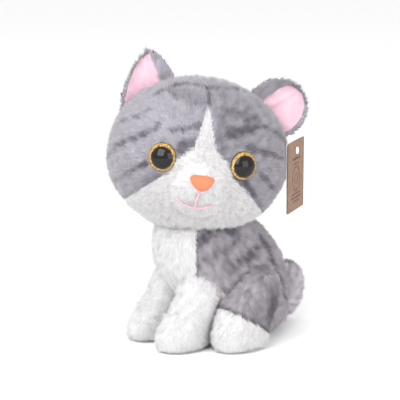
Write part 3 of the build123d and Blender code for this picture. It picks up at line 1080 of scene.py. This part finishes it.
# ---- legs ----
FORELEG_RINGS = [
    (0.8, 17, -60, 10, 15),
    (4, 17, -59.5, 13, 19),
    (10, 17, -59, 13.4, 19.6),
    (18, 17, -54.5, 13, 18),
    (28, 16.4, -48, 12.8, 16),
    (38, 15.6, -44.5, 12.4, 14.5),
    (48, 14.5, -42, 11, 13),
    (55, 14, -40, 6, 8),
]
HIND_LEG_RINGS = [
    (0.8, 38, -29, 10, 15),
    (4, 38, -29, 13, 19),
    (11, 38, -29, 13.8, 20),
    (21, 37, -25, 13.4, 21.5),
    (33, 35, -17, 12.6, 19),
    (43, 33, -11, 10.5, 15),
    (50, 31, -8, 6, 9),
]
FOOT_FRONT = (-36.0, 24.0)
FOOT_BACK = (-6.0, 5.5)


def is_foot(points):
    slope = (FOOT_BACK[1] - FOOT_FRONT[1]) / (FOOT_BACK[0] - FOOT_FRONT[0])
    return points[:, 2] < FOOT_FRONT[1] + slope * (points[:, 1] - FOOT_FRONT[0])


def leg_comb(roots, outward):
    return np.tile([0.0, -0.35, -1.0], (len(roots), 1))


def white_colour(roots, rng):
    return np.tile(WHITE, (len(roots), 1))


def thigh_colour(roots, rng):
    points = np.array(roots)
    ragged = points + (rng.normal(scale=0.4, size=points.shape) if rng is not None else 0)
    mirrored = points.copy()
    mirrored[:, 0] = np.abs(mirrored[:, 0])
    patch = near(mirrored, (48, -2, 30), 10) + 0.8 * near(mirrored, (48, -10, 20), 8)
    slope = (FOOT_BACK[1] - FOOT_FRONT[1]) / (FOOT_BACK[0] - FOOT_FRONT[0])
    above = mirrored[:, 2] - FOOT_FRONT[1] - slope * (mirrored[:, 1] - FOOT_FRONT[0])
    patch += 0.75 * (1 - smooth_step(1, 4.5, above)) + 0.2 * waves(mirrored, 6, 95)
    upper = smooth_step(37, 47, points[:, 2] - 0.5 * points[:, 1])
    light = GREY * BODY_TINT * (0.92 + 0.22 * upper + 0.12 * waves(mirrored, 5, 99))[:, None]
    colours = light + (DARK - light) * np.clip(patch, 0, 1)[:, None] * 0.75
    colours[is_foot(ragged)] = WHITE
    return colours


def leg_skin(name, rings, side):
    rings = [((side * x, y, z), wide - BACKING, long - BACKING) for z, x, y, wide, long in rings]
    skin = stuffed_form(name, rings, 24)
    points = read_points(skin.data)
    normals = read_normals(skin.data)
    points += normals * (0.5 * waves(points, 20, 17))[:, None]
    points[:, 2] = np.maximum(points[:, 2], 0.6)
    write_points(skin.data, points)
    return skin


def make_foreleg(side, name, seed):
    body = f"foreleg_{name}"
    packed = [(z, x, y, wide - CAD_CLOTH, long - CAD_CLOTH) for z, x, y, wide, long in FORELEG_RINGS[1:-1]]
    stuffing = leg_skin(f"{body}_fibre", packed, side)
    finish_piece(stuffing, body, fibre, nodes=(f"{body}_stuffing",))
    skin = leg_skin(f"{body}_plush", FORELEG_RINGS, side)
    grower = Grower(f"{body}_pile", white_colour, leg_comb, BODY_PILE * 0.85, 55, seed)
    cover(skin, body, white_plush, f"{body}_cover", grower)


def make_hind_leg(side, name, seed):
    skin = leg_skin(f"hind_leg_{name}_skin", HIND_LEG_RINGS, side)
    foot = is_foot(face_middles(skin.data))
    regions = {f"hind_leg_{name}_foot_plush": foot, f"hind_leg_{name}_thigh_plush": ~foot}
    for index, (panel_name, panel) in enumerate(split_skin(skin, regions).items()):
        pale = "foot" in panel_name
        finish = white_plush if pale else grey_plush
        pile_name = panel_name.replace("plush", "pile")
        grower = Grower(pile_name, thigh_colour, leg_comb, BODY_PILE * 0.85, 55, seed + index * 10)
        cover(panel, "body", finish, panel_name.replace("_plush", ""), grower)


# ---- tail ----
# Middle and radius of each ring, from the seam to the curled end.
TAIL_RINGS = [
    ((0, 14, 15), 9),
    ((0, 26, 12), 10),
    ((0, 34, 14), 10.8),
    ((0, 39, 21.5), 10.4),
    ((0, 39.5, 31), 9.4),
    ((0, 37.5, 39), 5.5),
]
TAIL_TURNS = 24


def tail_colour(roots, rng):
    points = np.array(roots)
    rim = near(points, (7, 47, 17), 8)
    patch = near(points, (8, 47, 17), 4.5) + near(points, (0, 44, 42), 12) * 0.6 + 0.25 * waves(points, 6, 97)
    # The tail's grey is raised to 1.7 times, well above the flanks' 1.16: painted light making up for the
    # shade the tail sits in.
    light = GREY * BODY_TINT * (1.7 + 0.3 * rim + 0.3 * waves(points, 5, 98))[:, None]
    return light + (DARK - light) * np.clip(patch, 0, 1)[:, None] * 0.6


def tail_comb(roots, outward):
    return np.tile([0.0, 0.3, 1.0], (len(roots), 1))


def make_tail():
    middles = np.array([middle for middle, radius in TAIL_RINGS], dtype=float)
    points = []
    for index, (middle, radius) in enumerate(TAIL_RINGS):
        before = middles[max(index - 1, 0)]
        after = middles[min(index + 1, len(middles) - 1)]
        along = unit(after - before)
        side = np.array([1.0, 0, 0])
        other = np.cross(along, side)
        for turn in range(TAIL_TURNS):
            angle = 2 * pi * turn / TAIL_TURNS
            spot = (side * cos(angle) + other * sin(angle)) * (radius - BACKING)
            points.append(np.array(middle) + spot)
    faces = []
    for ring in range(len(TAIL_RINGS) - 1):
        start = ring * TAIL_TURNS
        above = start + TAIL_TURNS
        for turn in range(TAIL_TURNS):
            following = (turn + 1) % TAIL_TURNS
            faces.append((start + turn, start + following, above + following, above + turn))
    faces.append(tuple(range(TAIL_TURNS))[::-1])
    faces.append(tuple(range(len(points) - TAIL_TURNS, len(points))))
    skin = mesh_object("tail_plush", points, faces)
    apply_modifier(skin, "SUBSURF", levels=2, render_levels=2)
    shade_smooth(skin.data)
    grower = Grower("tail_pile", tail_colour, tail_comb, BODY_PILE, 50, 700, jitter=0.45)
    cover(skin, "tail", grey_plush, "tail_cover", grower)


# ---- tag ----
PRINT_OUT = 0.29  # from the middle of the front leaf to the print
PRINT_THICKNESS = 0.06
PRINT_RINGS = ((7.6, 8.2), (3.0, 3.5))


def dress_tag():
    """The two leaves of the folded card, with plain bars and rings printed on the front one."""
    for name, finish in (("tag_front_leaf", kraft), ("tag_back_leaf", pale_card)):
        leaf = frame["nodes"][name].data
        leaf.materials.clear()
        leaf.materials.append(finish)
    swing = np.array(node_joint("tag_swing")["axis"])
    along = np.array([-swing[1], swing[0], 0])
    front_low, front_high = joined_box("tag_front_leaf")
    face_out = (front_low + front_high) / 2 + swing * PRINT_OUT
    bars = []
    for row, (start, end) in enumerate([(-9, 9), (-11, 11), (-6, 6)]):
        bars.append((start, end, -12.5 - row * 2.4, 0.8))
    bars += [(-8, 8, 10.5, 1.4), (-5, 5, 7.6, 0.8)]
    points, faces = [], []

    def flat_box(corners):
        start = len(points)
        for lift in (0.0, PRINT_THICKNESS):
            for u, v in corners:
                points.append(face_out + along * u + np.array([0, 0, v]) + swing * lift)
        n = len(corners)
        faces.append(tuple(start + i for i in range(n))[::-1])
        faces.append(tuple(start + n + i for i in range(n)))
        for i in range(n):
            j = (i + 1) % n
            faces.append((start + i, start + j, start + n + j, start + n + i))

    for start, end, height, thick in bars:
        flat_box([(start, height), (end, height), (end, height + thick), (start, height + thick)])
    turns = 28
    for inner, outer in PRINT_RINGS:
        for turn in range(turns):
            first, second = 2 * pi * turn / turns, 2 * pi * (turn + 1) / turns
            flat_box(
                [
                    (inner * cos(first), inner * sin(first) - 2),
                    (outer * cos(first), outer * sin(first) - 2),
                    (outer * cos(second), outer * sin(second) - 2),
                    (inner * cos(second), inner * sin(second) - 2),
                ]
            )
    print_piece = mesh_object("tag_print", points, faces)
    finish_piece(print_piece, "tag", tag_ink)


def dress_inner_nodes():
    for name in frame["nodes"]:
        node = frame["nodes"][name]
        if name.endswith("stuffing"):
            finish = fibre
        elif name == "pellet_bag":
            finish = bag_cloth
        elif "washer" in name:
            finish = washer_plastic
        elif "iris" in name:
            finish = gold_glitter
        elif name == "tag_pin":
            finish = nylon
        else:
            continue
        node.data.materials.clear()
        node.data.materials.append(finish)


make_camera()
make_studio()
grey_plush = plush_finish("grey_pile", 0.35)
white_plush = plush_finish("white_pile", 0.25)
pink_satin = satin_finish()
# The first colour of each thread finish is painted shade for the grooves, the second painted light for the
# ridge tops.
nose_thread = thread_finish("nose_thread", (0.76, 0.135, 0.055), (0.92, 0.20, 0.085), (2, 2, 2))
mouth_thread = thread_finish("mouth_thread", (0.72, 0.22, 0.30), (0.92, 0.42, 0.50), (1, 1, 1))
eye_dome = eye_finish()
gold_glitter = glitter_finish()
fibre = fibre_finish("packed_fibre", (0.9, 0.9, 0.9))
bag_cloth = fibre_finish("pellet_bag_cloth", (0.75, 0.72, 0.66))
washer_plastic = plastic_finish("washer_plastic", (0.85, 0.85, 0.83), 0.5)
nylon = plastic_finish("nylon", (0.9, 0.9, 0.9), 0.25)
kraft = card_finish("kraft_card", (0.19, 0.112, 0.075), (0.28, 0.175, 0.12))
pale_card = card_finish("pale_card", (0.78, 0.75, 0.72), (0.88, 0.86, 0.84))
tag_ink = plastic_finish("tag_ink", (0.10, 0.06, 0.04), 0.8)

dress_inner_nodes()
make_head()
make_eye(1, "left")
make_eye(-1, "right")
make_nose()
make_mouth()
make_ear("left", 500)
make_ear("right", 520)
make_body()
make_foreleg(1, "left", 600)
make_foreleg(-1, "right", 620)
make_hind_leg(1, "left", 640)
make_hind_leg(-1, "right", 660)
make_tail()
dress_tag()
